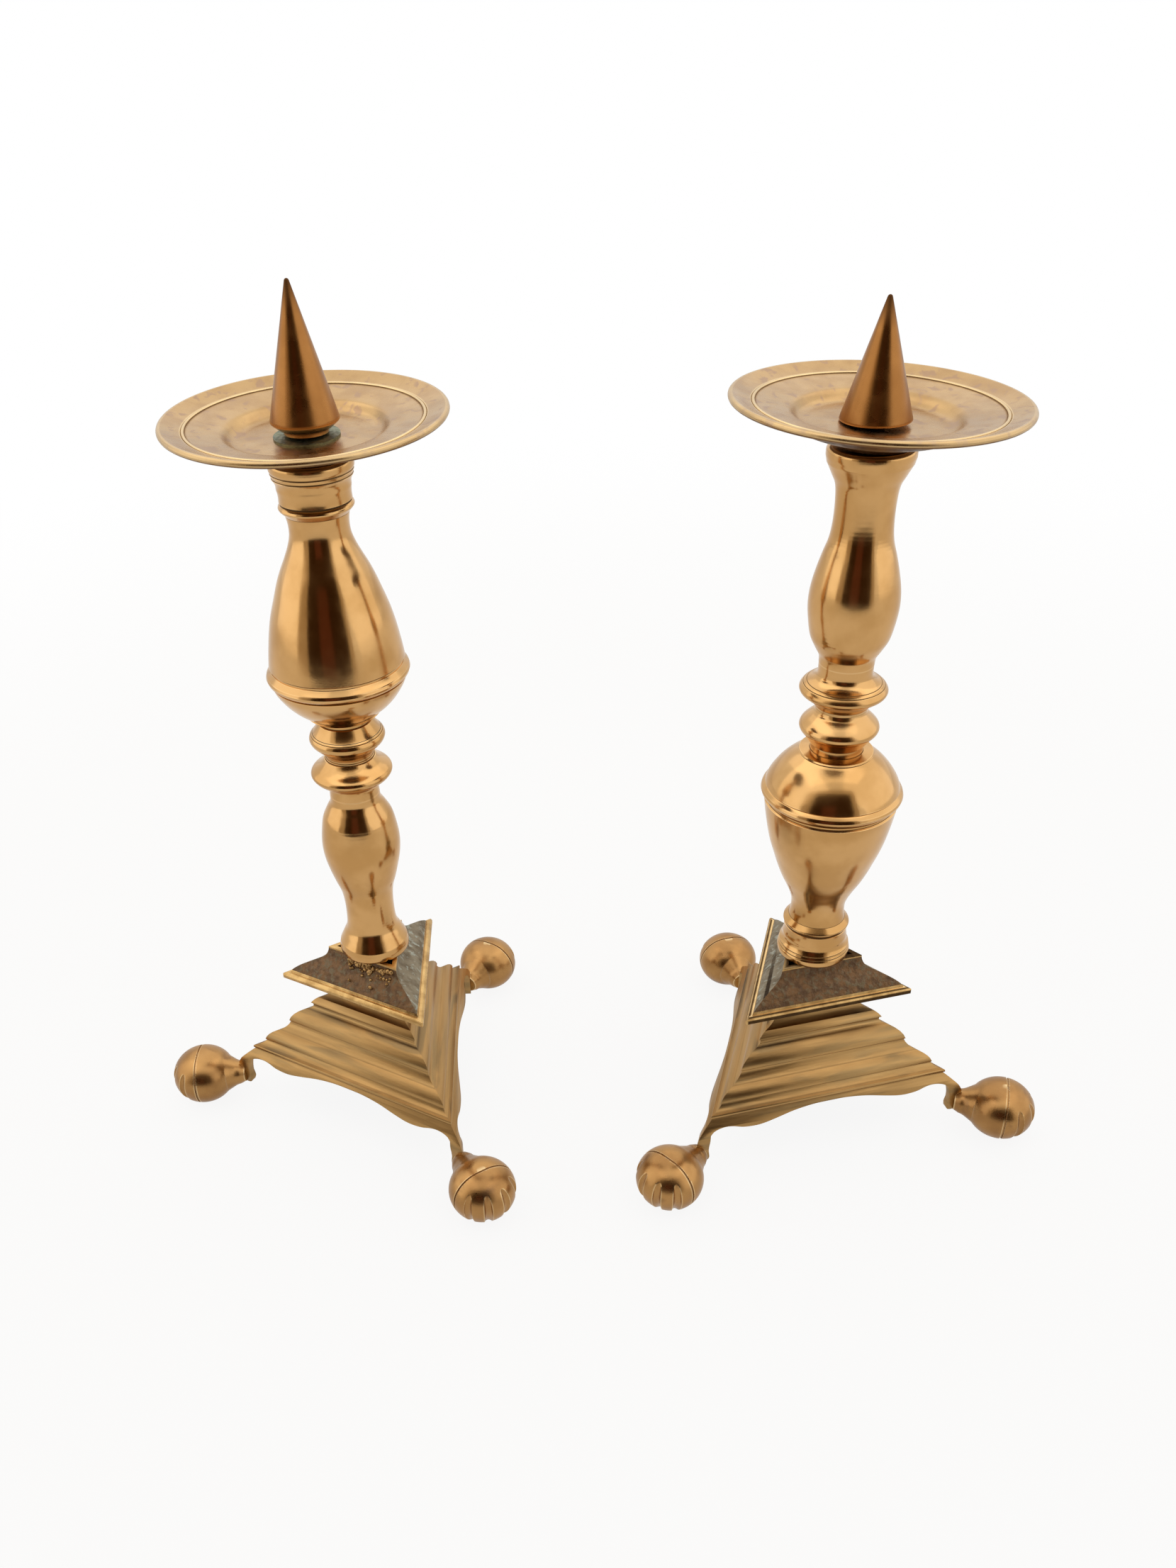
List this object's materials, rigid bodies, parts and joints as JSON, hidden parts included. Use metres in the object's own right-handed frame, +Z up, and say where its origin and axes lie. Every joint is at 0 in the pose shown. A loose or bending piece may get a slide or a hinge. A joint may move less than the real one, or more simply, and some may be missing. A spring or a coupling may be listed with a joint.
{
  "type": "pair of pricket candlesticks",
  "caption": "Pair of brass pricket candlesticks: turned baluster stem on a three-sided tripod base with ball feet, wide drip pan and conical spike.",
  "frame": {"origin": "centre of the pair's footprint, on the ground between the two sticks", "axes": "+X from the left stick to the right one as the picture shows them, +Y away from the viewer, +Z up along the stems"},
  "size_m": [0.354, 0.1685, 0.3169],
  "materials": {
    "cast_brass": "cast and filed, worn dull",
    "foot_brass": "cast, worn bright on top",
    "dull_brass": "cast, dull with green-grey tarnish",
    "dark_iron": "dark forged iron",
    "polished_brass": "turned and polished, softly worn",
    "pan_brass": "turned, pitted and mottled",
    "green_brass": "thin brass, stained green",
    "spike_brass": "turned and polished"
  },
  "bodies": {
    "stands": {"left_base": "cast_brass", "left_foot_front": "foot_brass", "left_foot_outer": "foot_brass", "left_foot_back": "foot_brass", "left_platform": "dull_brass", "left_tie_rod": "dark_iron", "left_base_washer": "dark_iron", "left_base_nut": "dark_iron", "left_stem_baluster": "polished_brass", "left_stem_knops": "polished_brass", "left_stem_dome": "polished_brass", "left_stem_pear": "polished_brass", "right_base": "cast_brass", "right_foot_front": "foot_brass", "right_foot_outer": "foot_brass", "right_foot_back": "foot_brass", "right_platform": "dull_brass", "right_tie_rod": "dark_iron", "right_base_washer": "dark_iron", "right_base_nut": "dark_iron", "right_stem_baluster": "polished_brass", "right_stem_knops": "polished_brass", "right_stem_dome": "polished_brass", "right_stem_pear": "polished_brass"},
    "left_pan": {"left_drip_pan": "pan_brass", "left_spike_washer": "green_brass"},
    "left_spike": {"left_pricket_spike": "spike_brass"},
    "right_pan": {"right_drip_pan": "pan_brass"},
    "right_spike": {"right_pricket_spike": "spike_brass"}
  },
  "joints": [
    {"name": "left_pan_turn", "type": "hinge", "parent": "stands", "child": "left_pan", "pos_m": [-0.08432, -0.00509, 0.26722], "axis": [0, 0, 1], "continuous": true},
    {"name": "left_spike_turn", "type": "hinge", "parent": "stands", "child": "left_spike", "pos_m": [-0.08432, -0.00509, 0.27405], "axis": [0, 0, 1], "range_deg": [0, 2880]},
    {"name": "right_pan_turn", "type": "hinge", "parent": "stands", "child": "right_pan", "pos_m": [0.08618, -0.00509, 0.26725], "axis": [0, 0, 1], "continuous": true},
    {"name": "right_spike_turn", "type": "hinge", "parent": "stands", "child": "right_spike", "pos_m": [0.08618, -0.00509, 0.27355], "axis": [0, 0, 1], "range_deg": [0, 2880]}
  ]
}
